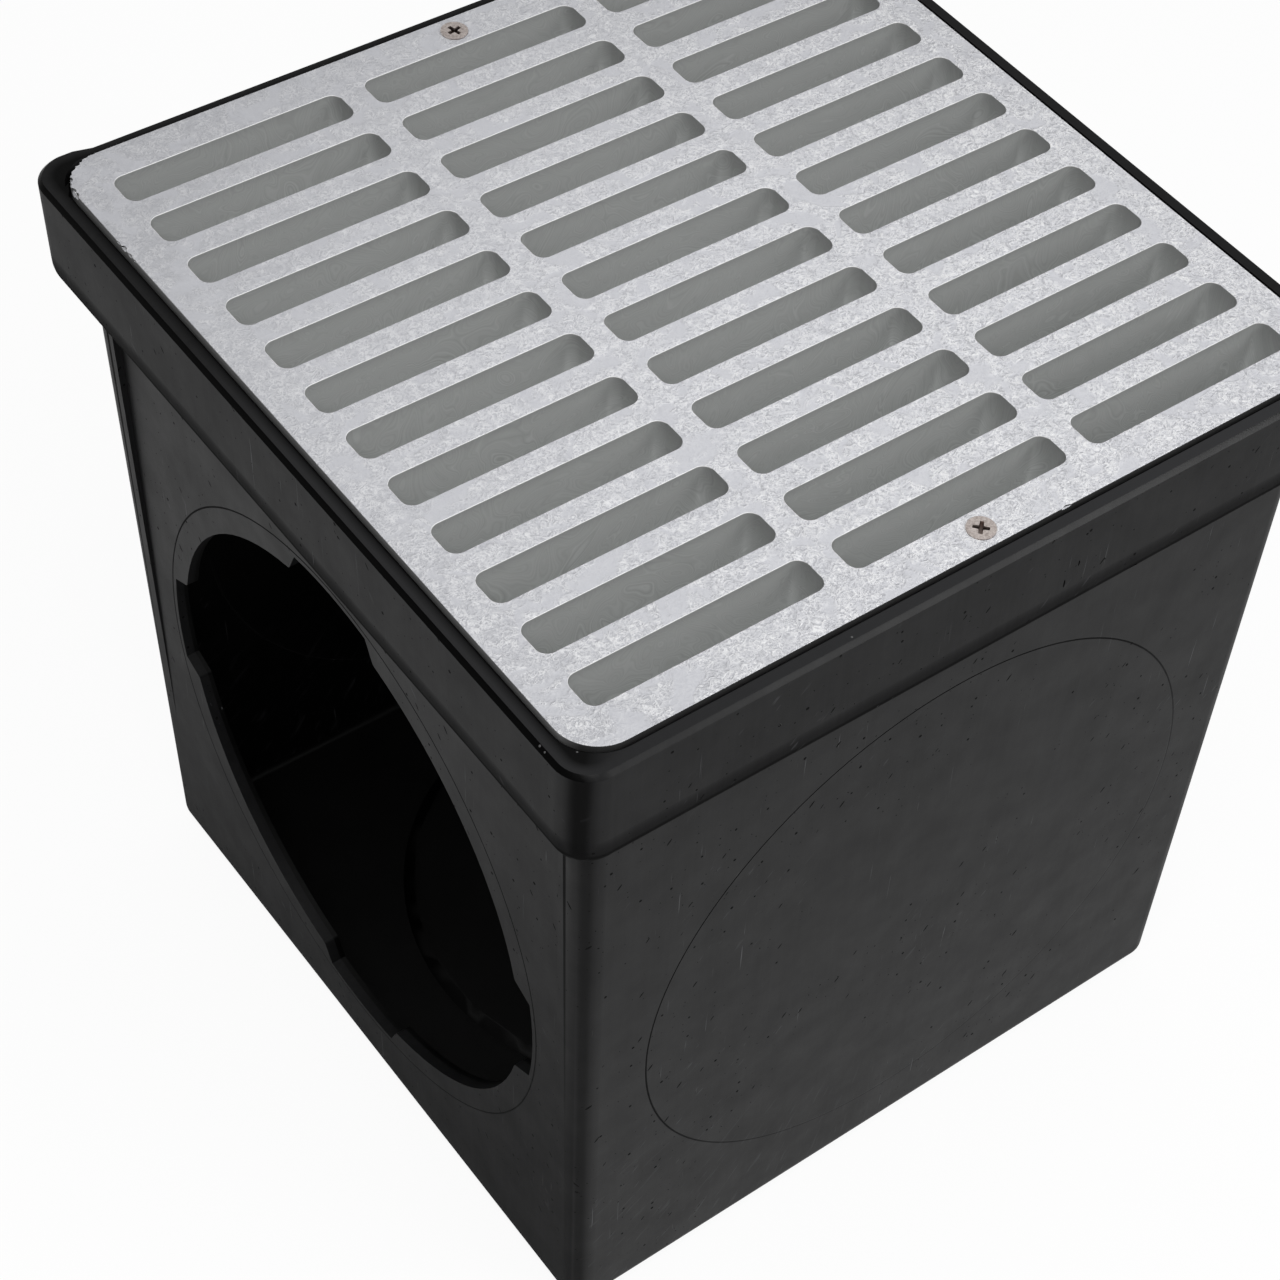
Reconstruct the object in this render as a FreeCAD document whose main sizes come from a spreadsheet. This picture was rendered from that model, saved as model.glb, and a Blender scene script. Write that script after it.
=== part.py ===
import FreeCAD, Part

import os

import Sketcher

# Drainage catch basin with a slotted gully grate.
# Frame: millimetres, +Z up, origin at the middle of the basin's underside.
# The outlets open along -X and +X, and the grate's slots run along X.

# Driving sizes: alias, value, what it measures
SIZES = (
    ("basin_height", 336.0, "underside of the basin to the top of its rim"),
    ("box_draft", 0.23, "lean of the box walls, wider towards the top, degrees"),
    ("box_round", 8.5, "radius of the box's upright corners and bottom edges"),
    ("wall", 6.0, "thickness of the box walls"),
    ("floor_thickness", 5.0, "thickness of the floor"),
    ("inner_round", 3.0, "radius of the corners between the inside walls and floor"),
    ("rim_wall", 6.4, "thickness of the rim round the grate"),
    ("rim_overhang", 10.5, "step from the rim's side in to the box, at the rim's lower edge"),
    ("rim_height", 39.5, "height of the rim band"),
    ("rim_corner", 12.0, "radius of the rim's upright corners"),
    ("rim_top_round", 1.5, "radius of the rim's top outer edge"),
    ("rim_lip_bevel", 1.0, "bevel of the rim's top inner edge"),
    ("rim_low_round", 2.5, "radius of the rim's lower outer edge"),
    ("side_recess", 3.0, "step of the outlet side behind its corner posts, below the rim"),
    ("side_post", 12.5, "width of those corner posts"),
    ("side_foot", 72.0, "height at which that step has faded out"),
    ("outlet_height", 148.0, "centre of the outlets above the underside"),
    ("outlet_radius", 110.0, "radius inside the locking tabs"),
    ("notch_count", 4, "notches round an outlet, with a locking tab between two"),
    ("notch_depth", 7.8, "depth of a notch past that radius"),
    ("notch_width", 43.0, "width across the bottom of a notch"),
    ("notch_flare", 6.5, "sideways lean of a notch's flank, over twice its depth"),
    ("tab_round", 2.0, "radius of the tab ends"),
    ("ring_foot", 108.0, "radius of the floor's round platform at its foot"),
    ("ring_rise", 2.5, "height of that platform"),
    ("ring_slope", 60.0, "slope of its edge from the upright, degrees"),
    ("post_radius", 6.0, "radius of the screw posts inside the blank walls"),
    ("post_root", 4.5, "depth of a post's flat back inside the wall"),
    ("pilot_hole", 4.2, "diameter of the pilot holes in the posts"),
    ("pilot_spare", 4.0, "depth of a pilot hole past its screw's point"),
    ("grate_width", 302.0, "width of the square grate"),
    ("grate_depth", 32.0, "thickness of the grate"),
    ("grate_corner", 15.0, "corner radius of the grate"),
    ("grate_proud", 1.0, "height of the grate's top above the rim"),
    ("grate_gap", 0.6, "gap between grate and rim on each side"),
    ("grate_draft", 0.8, "lean of the grate's sides, narrower below, degrees"),
    ("slot_columns", 3, "slots side by side along X"),
    ("slot_rows", 12, "slots one behind the other along Y"),
    ("slot_end_margin", 12.7, "plate left at the ends of the rows"),
    ("slot_side_margin", 14.85, "plate left in front of and behind the rows"),
    ("column_bar", 9.9, "plate left between two columns"),
    ("row_bar", 9.7, "plate left between two rows"),
    ("slot_corner", 4.0, "corner radius of a slot"),
    ("screw_inset", 7.5, "distance of a screw's axis from the grate's edge"),
    ("screw_hole", 5.4, "diameter of the screw holes in the grate"),
    ("sink_angle", 90.0, "angle across the countersinks, degrees"),
    ("screw_shank", 3.8, "diameter of a screw's core"),
    ("screw_head", 9.6, "diameter of a screw's flat head"),
    ("screw_edge", 0.4, "height of the head's upright edge"),
    ("screw_length", 45.0, "length from the top of the head to the point"),
    ("screw_point", 5.0, "length of the point"),
    ("seat_gap", 0.05, "clearance between a screw head and its countersink"),
    ("cross_span", 5.4, "width across the cross recess"),
    ("cross_arm", 1.3, "width of an arm of the cross"),
    ("cross_depth", 1.8, "depth of the cross"),
    ("cross_lean", 8.0, "lean of the cross walls, degrees"),
)

# Formulas that several features share
BASIN_TOP = "Sizes.basin_height"
RIM_BOTTOM = f"({BASIN_TOP} - Sizes.rim_height)"
GRATE_TOP = f"({BASIN_TOP} + Sizes.grate_proud)"
SEAT = f"({GRATE_TOP} - Sizes.grate_depth)"
SCREW_TOP = f"({GRATE_TOP} + Sizes.screw_edge)"
SCREW_Y = "(Sizes.grate_width / 2 - Sizes.screw_inset)"
POCKET_WIDTH = "(Sizes.grate_width + 2 * Sizes.grate_gap)"
RIM_WIDTH = f"({POCKET_WIDTH} + 2 * Sizes.rim_wall)"
BOX_SLOPE = "tan(Sizes.box_draft * 1 deg)"
BASE_WIDTH = f"({RIM_WIDTH} - 2 * Sizes.rim_overhang - 2 * {RIM_BOTTOM} * {BOX_SLOPE})"
FLOOR_OPENING = f"({BASE_WIDTH} + 2 * Sizes.floor_thickness * {BOX_SLOPE} - 2 * Sizes.wall)"
NOTCH_RADIUS = "(Sizes.outlet_radius + Sizes.notch_depth)"
COLUMN_BARS = "(Sizes.slot_columns - 1) * Sizes.column_bar"
ROW_BARS = "(Sizes.slot_rows - 1) * Sizes.row_bar"
SLOT_LENGTH = (
    f"((Sizes.grate_width - 2 * Sizes.slot_end_margin - {COLUMN_BARS}) / Sizes.slot_columns)"
)
SLOT_WIDTH = f"((Sizes.grate_width - 2 * Sizes.slot_side_margin - {ROW_BARS}) / Sizes.slot_rows)"
ACROSS_COLUMNS = f"((Sizes.slot_columns - 1) * ({SLOT_LENGTH} + Sizes.column_bar))"
ALONG_ROWS = f"((Sizes.slot_rows - 1) * ({SLOT_WIDTH} + Sizes.row_bar))"

# A cut runs this far past the solid, and two places are the same within NEAR
CUT_PAST = 10.0
NEAR = 0.02
FULL_TURN = 360

doc = FreeCAD.newDocument("catch_basin")


def make_sheet():
    sheet = doc.addObject("Spreadsheet::Sheet", "Sizes")
    for row, (alias, size, meaning) in enumerate(SIZES, 1):
        sheet.set(f"A{row}", alias)
        sheet.set(f"B{row}", str(size))
        sheet.set(f"C{row}", meaning)
        sheet.setAlias(f"B{row}", alias)
    doc.recompute()
    return sheet


sizes = make_sheet()


def number(formula):
    """The value of a formula, as a plain number."""
    result = sizes.evalExpression(formula.replace("Sizes.", ""))
    return float(getattr(result, "Value", result))


def bind(thing, **formulas):
    for name, formula in formulas.items():
        thing.setExpression(name, formula)


# Sketches and bodies


def new_body(name):
    body = doc.addObject("PartDesign::Body", name)
    body.Label = name
    return body


def origin_plane(body, role):
    return next(o for o in body.Origin.OriginFeatures if o.Role == role)


def new_sketch(body, name, role, **offset):
    """A sketch on an origin plane, moved by formulas x, y and z in the plane's own directions."""
    sketch = body.newObject("Sketcher::SketchObject", name)
    sketch.AttachmentSupport = [(origin_plane(body, role), "")]
    sketch.MapMode = "FlatFace"
    for axis, formula in offset.items():
        sketch.setExpression(f"AttachmentOffset.Base.{axis}", formula)
    return sketch


def measure(sketch, name, formula, kind, *where):
    """Adds a dimension to the sketch and binds it to a formula."""
    index = sketch.addConstraint(Sketcher.Constraint(kind, *where, number(formula)))
    sketch.renameConstraint(index, name)
    sketch.setExpression(f"Constraints.{name}", formula)


def line(sketch, start, end):
    return sketch.addGeometry(Part.LineSegment(FreeCAD.Vector(*start), FreeCAD.Vector(*end)))


def arc(sketch, centre, radius, first, last):
    """An arc about centre, from first to last in quarter turns."""
    circle = Part.Circle(FreeCAD.Vector(*centre), FreeCAD.Vector(0, 0, 1), radius)
    quarter = number("90 deg / 1 rad")
    return sketch.addGeometry(Part.ArcOfCircle(circle, first * quarter, last * quarter))


def ring(sketch, name, radius, x="0", y="0"):
    """A full circle, its centre at the formulas x and y."""
    place = FreeCAD.Vector(number(x), number(y))
    index = sketch.addGeometry(Part.Circle(place, FreeCAD.Vector(0, 0, 1), number(radius)))
    measure(sketch, f"{name}_radius", radius, "Radius", index)
    measure(sketch, f"{name}_x", x, "DistanceX", -1, 1, index, 3)
    measure(sketch, f"{name}_y", y, "DistanceY", -1, 1, index, 3)


def polygon(sketch, points):
    """A closed outline whose corners are given as pairs of formulas."""
    places = [(number(x), number(y)) for x, y in points]
    sides = [line(sketch, place, places[(i + 1) % len(places)]) for i, place in enumerate(places)]
    for i, side in enumerate(sides):
        following = sides[(i + 1) % len(sides)]
        sketch.addConstraint(Sketcher.Constraint("Coincident", side, 2, following, 1))
    for i, (x, y) in enumerate(points):
        measure(sketch, f"corner{i}_x", x, "DistanceX", -1, 1, sides[i], 1)
        measure(sketch, f"corner{i}_y", y, "DistanceY", -1, 1, sides[i], 1)


def square(sketch, width):
    """A square with sharp corners about the sketch's origin."""
    half = f"{width} / 2"
    polygon(sketch, tuple(
        (f"{right} * {half}", f"{up} * {half}") for right, up in ((-1, -1), (1, -1), (1, 1), (-1, 1))
    ))


def rounded_rectangle(sketch, width, depth, corner, x="0", y="0"):
    """A rectangle with round corners about the place given by the formulas x and y."""
    half_w = number(width) / 2
    half_d = number(depth) / 2
    r = number(corner)
    cx = number(x)
    cy = number(y)
    low = line(sketch, (cx - half_w + r, cy - half_d), (cx + half_w - r, cy - half_d))
    right = line(sketch, (cx + half_w, cy - half_d + r), (cx + half_w, cy + half_d - r))
    high = line(sketch, (cx + half_w - r, cy + half_d), (cx - half_w + r, cy + half_d))
    left = line(sketch, (cx - half_w, cy + half_d - r), (cx - half_w, cy - half_d + r))
    corners = [
        arc(sketch, (cx + half_w - r, cy - half_d + r), r, 3, 4),
        arc(sketch, (cx + half_w - r, cy + half_d - r), r, 0, 1),
        arc(sketch, (cx - half_w + r, cy + half_d - r), r, 1, 2),
        arc(sketch, (cx - half_w + r, cy - half_d + r), r, 2, 3),
    ]
    for before, bend, after in zip((low, right, high, left), corners, (right, high, left, low)):
        sketch.addConstraint(Sketcher.Constraint("Tangent", before, 2, bend, 1))
        sketch.addConstraint(Sketcher.Constraint("Tangent", bend, 2, after, 1))
    for flat in (low, high):
        sketch.addConstraint(Sketcher.Constraint("Horizontal", flat))
    for bend in corners[1:]:
        sketch.addConstraint(Sketcher.Constraint("Equal", corners[0], bend))
    for upright in (left, right):
        sketch.addConstraint(Sketcher.Constraint("Vertical", upright))
    measure(sketch, "corner", corner, "Radius", corners[0])
    measure(sketch, "width", width, "DistanceX", left, 1, right, 1)
    measure(sketch, "depth", depth, "DistanceY", low, 1, high, 1)
    middle = sketch.addGeometry(Part.Point(FreeCAD.Vector(cx, cy)), True)
    measure(sketch, "middle_x", x, "DistanceX", -1, 1, middle, 1)
    measure(sketch, "middle_y", y, "DistanceY", -1, 1, middle, 1)
    sketch.addConstraint(Sketcher.Constraint("Symmetric", corners[0], 3, corners[2], 3, middle, 1))


# Solid features


def extrude(body, kind, name, sketch, length, taper=None, both_ways=False):
    """A Pad or Pocket of the sketch. A positive taper widens it away from the sketch."""
    feature = body.newObject(f"PartDesign::{kind}", name)
    feature.Profile = sketch
    feature.SideType = "Symmetric" if both_ways else "One side"
    bind(feature, Length=length)
    if taper:
        bind(feature, TaperAngle=taper)
    doc.recompute()
    return feature


def blend(body, name, radius, test):
    """A fillet on every edge of the body that passes the test."""
    dress_edges(body, "Fillet", name, test, Radius=radius)


def dress_edges(body, kind, name, test, **formulas):
    """A Fillet or Chamfer on every edge of the body that passes the test."""
    base = body.Tip
    edges = [f"Edge{i}" for i, edge in enumerate(base.Shape.Edges, 1) if test(edge)]
    if not edges:
        raise RuntimeError(f"{name}: no edge found")
    feature = body.newObject(f"PartDesign::{kind}", name)
    feature.Base = (base, edges)
    bind(feature, **formulas)
    doc.recompute()


def lean(body, name, low, high, inside=False):
    """Leans the walls that rise from height low to height high outwards, about the underside."""
    base = body.Tip
    bottom = number(low)
    top = number(high)
    faces = [
        f"Face{i}" for i, face in enumerate(base.Shape.Faces, 1)
        if abs(face.BoundBox.ZMin - bottom) < NEAR and abs(face.BoundBox.ZMax - top) < NEAR
    ]
    feature = body.newObject("PartDesign::Draft", name)
    feature.Base = (base, faces)
    feature.NeutralPlane = (origin_plane(body, "XY_Plane"), [""])
    feature.Reversed = not inside
    bind(feature, Angle="Sizes.box_draft * 1 deg")
    doc.recompute()


def is_upright(low, high):
    """A test for the edges that rise on the body's diagonals from height low to height high."""
    heights = (number(low), number(high))

    def test(edge):
        ends = sorted((v.Point for v in edge.Vertexes), key=lambda point: point.z)
        return len(ends) == 2 and all(
            abs(end.z - z) < NEAR and abs(abs(end.x) - abs(end.y)) < NEAR
            for end, z in zip(ends, heights)
        )

    return test


def on_loop(height, half_width):
    """A test for the edges round a square outline of that half width, at that height."""
    z = number(height)
    half = number(half_width)

    def test(edge):
        return all(
            abs(v.Z - z) < NEAR and abs(max(abs(v.X), abs(v.Y)) - half) < NEAR
            for v in edge.Vertexes
        )

    return test


# Basin: one moulded box with rim, grate seat, two outlets and two screw posts


def make_box(body):
    outline = new_sketch(body, "box_outline", "XY_Plane")
    square(outline, BASE_WIDTH)
    extrude(body, "Pad", "box", outline, BASIN_TOP)
    lean(body, "box_lean", "0", BASIN_TOP)
    upright = is_upright("0", BASIN_TOP)
    base = on_loop("0", f"{BASE_WIDTH} / 2")
    blend(body, "box_edges", "Sizes.box_round", lambda edge: upright(edge) or base(edge))


def make_rim(body):
    outline = new_sketch(body, "rim_outline", "XY_Plane", z=RIM_BOTTOM)
    rounded_rectangle(outline, RIM_WIDTH, RIM_WIDTH, "Sizes.rim_corner")
    extrude(body, "Pad", "rim", outline, "Sizes.rim_height")
    half = f"{RIM_WIDTH} / 2"
    blend(body, "rim_low_edge", "Sizes.rim_low_round", on_loop(RIM_BOTTOM, half))
    blend(body, "rim_top_edge", "Sizes.rim_top_round", on_loop(BASIN_TOP, half))


def hollow_out(body):
    """The pocket that holds the grate, and the cavity below its seat."""
    mouth = new_sketch(body, "grate_pocket_outline", "XY_Plane", z=BASIN_TOP)
    rounded_rectangle(mouth, POCKET_WIDTH, POCKET_WIDTH, "Sizes.grate_corner + Sizes.grate_gap")
    extrude(body, "Pocket", "grate_pocket", mouth, "Sizes.grate_depth - Sizes.grate_proud")
    lip = on_loop(BASIN_TOP, f"{POCKET_WIDTH} / 2")
    dress_edges(body, "Chamfer", "rim_lip", lip, Size="Sizes.rim_lip_bevel")
    seat = new_sketch(body, "cavity_outline", "XY_Plane", z=SEAT)
    square(seat, f"({BASE_WIDTH} - 2 * Sizes.wall)")
    extrude(body, "Pocket", "cavity", seat, f"{SEAT} - Sizes.floor_thickness")
    lean(body, "cavity_lean", "Sizes.floor_thickness", SEAT, inside=True)
    upright = is_upright("Sizes.floor_thickness", SEAT)
    floor = on_loop("Sizes.floor_thickness", f"{FLOOR_OPENING} / 2")
    blend(body, "inner_edges", "Sizes.inner_round", lambda edge: upright(edge) or floor(edge))


def recess_sides(body):
    """The outlet sides lean inwards behind their corner posts, most of all just below the rim."""
    upper = f"({BASE_WIDTH} / 2 + {RIM_BOTTOM} * {BOX_SLOPE})"
    lower = f"({BASE_WIDTH} / 2 + Sizes.side_foot * {BOX_SLOPE})"
    outside = f"(-{upper} - {CUT_PAST})"
    profile = new_sketch(body, "side_recess_profile", "XZ_Plane")
    polygon(profile, (
        (outside, RIM_BOTTOM),
        (f"-({upper} - Sizes.side_recess)", RIM_BOTTOM),
        (f"-{lower}", "Sizes.side_foot"),
        (outside, "Sizes.side_foot"),
    ))
    width = f"{BASE_WIDTH} - 2 * Sizes.side_post"
    recess = extrude(body, "Pocket", "side_recess", profile, width, both_ways=True)
    mirrored = body.newObject("PartDesign::Mirrored", "side_recesses")
    mirrored.Originals = [recess]
    mirrored.MirrorPlane = (origin_plane(body, "YZ_Plane"), [""])
    body.Tip = mirrored
    doc.recompute()


def cut_outlets(body):
    """Round openings through both outlet sides, each with locking tabs between notches."""
    through = RIM_WIDTH
    bore = new_sketch(body, "outlet_outline", "YZ_Plane", y="Sizes.outlet_height")
    ring(bore, "bore", "Sizes.outlet_radius")
    extrude(body, "Pocket", "outlets", bore, through, both_ways=True)
    notch = new_sketch(body, "notch_outline", "YZ_Plane", y="Sizes.outlet_height")
    draw_notch(notch)
    cut = extrude(body, "Pocket", "outlet_notch", notch, through, both_ways=True)
    pattern = body.newObject("PartDesign::PolarPattern", "outlet_notches")
    pattern.Originals = [cut]
    pattern.Axis = (notch, ["N_Axis"])
    pattern.Angle = FULL_TURN
    bind(pattern, Occurrences="Sizes.notch_count")
    body.Tip = pattern
    doc.recompute()
    blend(body, "tab_ends", "Sizes.tab_round", is_tab_end)


def draw_notch(sketch):
    """The top notch: slanted flanks that meet an arc about the outlet's centre."""
    radius = number(NOTCH_RADIUS)
    mouth_width = "(Sizes.notch_width + 2 * Sizes.notch_flare)"
    mouth_height = "Sizes.outlet_radius - Sizes.notch_depth"
    half_top = number("Sizes.notch_width / 2")
    half_mouth = number(f"{mouth_width} / 2")
    low = number(mouth_height)
    high = (radius**2 - half_top**2) ** 0.5
    mouth = line(sketch, (-half_mouth, low), (half_mouth, low))
    right = line(sketch, (half_mouth, low), (half_top, high))
    left = line(sketch, (-half_top, high), (-half_mouth, low))
    circle = Part.Circle(FreeCAD.Vector(), FreeCAD.Vector(0, 0, 1), radius)
    ends = [circle.parameter(FreeCAD.Vector(x, high)) for x in (half_top, -half_top)]
    bottom = sketch.addGeometry(Part.ArcOfCircle(circle, *ends))
    for first, second in ((mouth, right), (right, bottom), (bottom, left), (left, mouth)):
        sketch.addConstraint(Sketcher.Constraint("Coincident", first, 2, second, 1))
    sketch.addConstraint(Sketcher.Constraint("Coincident", bottom, 3, -1, 1))
    sketch.addConstraint(Sketcher.Constraint("Symmetric", mouth, 1, mouth, 2, -2))
    sketch.addConstraint(Sketcher.Constraint("Symmetric", bottom, 1, bottom, 2, -2))
    measure(sketch, "radius", NOTCH_RADIUS, "Radius", bottom)
    measure(sketch, "bottom_width", "Sizes.notch_width", "DistanceX", bottom, 2, bottom, 1)
    measure(sketch, "mouth_width", mouth_width, "DistanceX", mouth, 1, mouth, 2)
    measure(sketch, "mouth_height", mouth_height, "DistanceY", -1, 1, mouth, 1)


def is_tab_end(edge):
    """An edge along X where a notch's flank meets the outlet's round wall."""
    if len(edge.Vertexes) != 2:
        return False
    start, end = (v.Point for v in edge.Vertexes)
    radius = ((start.y**2) + (start.z - number("Sizes.outlet_height")) ** 2) ** 0.5
    along_x = abs(start.y - end.y) < NEAR and abs(start.z - end.z) < NEAR
    return along_x and abs(radius - number("Sizes.outlet_radius")) < NEAR


def raise_platform(body):
    """A low round platform in the floor, with a sloping edge."""
    foot = new_sketch(body, "platform_outline", "XY_Plane", z="Sizes.floor_thickness")
    ring(foot, "foot", "Sizes.ring_foot")
    extrude(body, "Pad", "platform", foot, "Sizes.ring_rise", "-Sizes.ring_slope * 1 deg")


def add_screw_posts(body):
    """Half-round posts up the blank walls, with pilot holes for the grate's screws."""
    posts = new_sketch(body, "post_outline", "XY_Plane", z="Sizes.floor_thickness")
    draw_post(posts)
    extrude(body, "Pad", "screw_post", posts, f"{SEAT} - Sizes.floor_thickness")
    second = body.newObject("PartDesign::Mirrored", "screw_posts")
    second.Originals = [body.Tip]
    second.MirrorPlane = (origin_plane(body, "XZ_Plane"), [""])
    body.Tip = second
    doc.recompute()
    holes = new_sketch(body, "pilot_outline", "XY_Plane", z=SEAT)
    ring(holes, "front", "Sizes.pilot_hole / 2", "0", f"-{SCREW_Y}")
    ring(holes, "back", "Sizes.pilot_hole / 2", "0", SCREW_Y)
    depth = f"Sizes.pilot_spare + Sizes.screw_length - ({SCREW_TOP} - {SEAT})"
    extrude(body, "Pocket", "pilot_holes", holes, depth)


def draw_post(sketch):
    """A half circle about the front screw's axis, its flat side inside the wall."""
    r = number("Sizes.post_radius")
    y = -number(SCREW_Y)
    back_y = f"Sizes.wall - Sizes.post_root - {BASE_WIDTH} / 2"
    back = number(back_y)
    right = line(sketch, (r, back), (r, y))
    bend = arc(sketch, (0, y), r, 0, 2)
    left = line(sketch, (-r, y), (-r, back))
    base = line(sketch, (-r, back), (r, back))
    sketch.addConstraint(Sketcher.Constraint("Tangent", right, 2, bend, 1))
    sketch.addConstraint(Sketcher.Constraint("Tangent", bend, 2, left, 1))
    sketch.addConstraint(Sketcher.Constraint("Coincident", left, 2, base, 1))
    sketch.addConstraint(Sketcher.Constraint("Coincident", base, 2, right, 1))
    sketch.addConstraint(Sketcher.Constraint("Horizontal", base))
    for upright in (left, right):
        sketch.addConstraint(Sketcher.Constraint("Vertical", upright))
    measure(sketch, "radius", "Sizes.post_radius", "Radius", bend)
    measure(sketch, "axis_x", "0", "DistanceX", -1, 1, bend, 3)
    measure(sketch, "axis_y", f"-{SCREW_Y}", "DistanceY", -1, 1, bend, 3)
    measure(sketch, "back_y", back_y, "DistanceY", -1, 1, base, 1)


def make_basin():
    body = new_body("basin")
    make_box(body)
    make_rim(body)
    hollow_out(body)
    recess_sides(body)
    cut_outlets(body)
    raise_platform(body)
    add_screw_posts(body)
    return body


# Grate: one moulded plate with straight slots


def make_grate():
    body = new_body("grate")
    outline = new_sketch(body, "grate_outline", "XY_Plane", z=GRATE_TOP)
    rounded_rectangle(outline, "Sizes.grate_width", "Sizes.grate_width", "Sizes.grate_corner")
    plate = extrude(body, "Pad", "plate", outline, "Sizes.grate_depth", "-Sizes.grate_draft * 1 deg")
    plate.Reversed = True
    slot_outline = new_sketch(body, "slot_outline", "XY_Plane", z=GRATE_TOP)
    first_x = f"-{ACROSS_COLUMNS} / 2"
    first_y = f"-{ALONG_ROWS} / 2"
    rounded_rectangle(slot_outline, SLOT_LENGTH, SLOT_WIDTH, "Sizes.slot_corner", first_x, first_y)
    slot = extrude(body, "Pocket", "slot", slot_outline, f"Sizes.grate_depth + {CUT_PAST}")
    slots = body.newObject("PartDesign::LinearPattern", "slots")
    slots.Originals = [slot]
    slots.Direction = (slot_outline, ["H_Axis"])
    slots.Direction2 = (slot_outline, ["V_Axis"])
    bind(slots, Length=ACROSS_COLUMNS, Length2=ALONG_ROWS)
    bind(slots, Occurrences="Sizes.slot_columns", Occurrences2="Sizes.slot_rows")
    body.Tip = slots
    doc.recompute()
    drill_screw_holes(body)
    return body


def drill_screw_holes(body):
    """Countersunk through holes, so that the screw heads lie flush."""
    centres = new_sketch(body, "screw_hole_centres", "XY_Plane", z=GRATE_TOP)
    ring(centres, "front", "Sizes.screw_hole / 2", "0", f"-{SCREW_Y}")
    ring(centres, "back", "Sizes.screw_hole / 2", "0", SCREW_Y)
    doc.recompute()
    hole = body.newObject("PartDesign::Hole", "screw_holes")
    hole.Profile = centres
    doc.recompute()
    hole.DepthType = "ThroughAll"
    hole.HoleCutType = "Countersink"
    hole.HoleCutCustomValues = True
    bind(hole, Diameter="Sizes.screw_hole", HoleCutCountersinkAngle="Sizes.sink_angle * 1 deg")
    bind(hole, HoleCutDiameter="Sizes.screw_head + 2 * Sizes.seat_gap")
    doc.recompute()


# Screws: two alike, each with a flat countersunk head and a cross recess


def make_screw():
    body = new_body("screw")
    head = "(Sizes.screw_head / 2)"
    shank = "(Sizes.screw_shank / 2)"
    cone_top = f"({SCREW_TOP} - Sizes.screw_edge)"
    point = f"({SCREW_TOP} - Sizes.screw_length)"
    profile = new_sketch(body, "screw_profile", "XZ_Plane", z=SCREW_Y)
    polygon(profile, (
        ("0", SCREW_TOP),
        ("0", point),
        (shank, f"{point} + Sizes.screw_point"),
        (shank, f"{cone_top} - {head} + {shank}"),
        (head, cone_top),
        (head, SCREW_TOP),
    ))
    turned = body.newObject("PartDesign::Revolution", "turned")
    turned.Profile = profile
    turned.ReferenceAxis = (profile, ["V_Axis"])
    turned.Angle = FULL_TURN
    doc.recompute()
    cross = new_sketch(body, "cross_outline", "XY_Plane", y=f"-{SCREW_Y}", z=SCREW_TOP)
    draw_cross(cross)
    extrude(body, "Pocket", "cross", cross, "Sizes.cross_depth", "-Sizes.cross_lean * 1 deg")
    return body


def draw_cross(sketch):
    arm = "Sizes.cross_arm / 2"
    tip = "Sizes.cross_span / 2"
    quarter = ((tip, arm), (arm, arm), (arm, tip))
    corners = []
    for turn_x, turn_y, step in ((1, 1, 1), (-1, 1, -1), (-1, -1, 1), (1, -1, -1)):
        corners += [(f"{turn_x} * {x}", f"{turn_y} * {y}") for x, y in quarter[::step]]
    polygon(sketch, corners)


def make_screws():
    front = make_screw()
    back = doc.addObject("Part::Mirroring", "screw_back")
    back.Source = front
    back.Normal = FreeCAD.Vector(0, 1, 0)
    pair = doc.addObject("Part::Compound", "grate_screws")
    pair.Label = "grate_screws"
    pair.Links = [front, back]
    doc.recompute()
    return pair


def check():
    """Stops if any object failed, or if a piece's shape is empty or not valid."""
    for thing in doc.Objects:
        if "Invalid" in thing.State or "Error" in thing.State:
            raise RuntimeError(f"{thing.Label} failed: {thing.State}")
    for piece in pieces:
        if piece.Shape.isNull() or not piece.Shape.isValid() or not piece.Shape.Solids:
            raise RuntimeError(f"{piece.Label} has no valid solid")


pieces = [make_basin(), make_grate(), make_screws()]
doc.recompute()
check()
os.makedirs("parts", exist_ok=True)
for piece in pieces:
    piece.Shape.exportStep(f"parts/{piece.Label}.step")
    box = piece.Shape.optimalBoundingBox(False)
    print(
        f"{piece.Label}: {len(piece.Shape.Solids)} solid(s), {piece.Shape.Volume:.0f} mm3,"
        f" {box.XLength:.2f} x {box.YLength:.2f} x {box.ZLength:.2f} mm"
    )
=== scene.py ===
import math
import random

import bmesh
import bpy
from mathutils import Matrix, Vector


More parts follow.
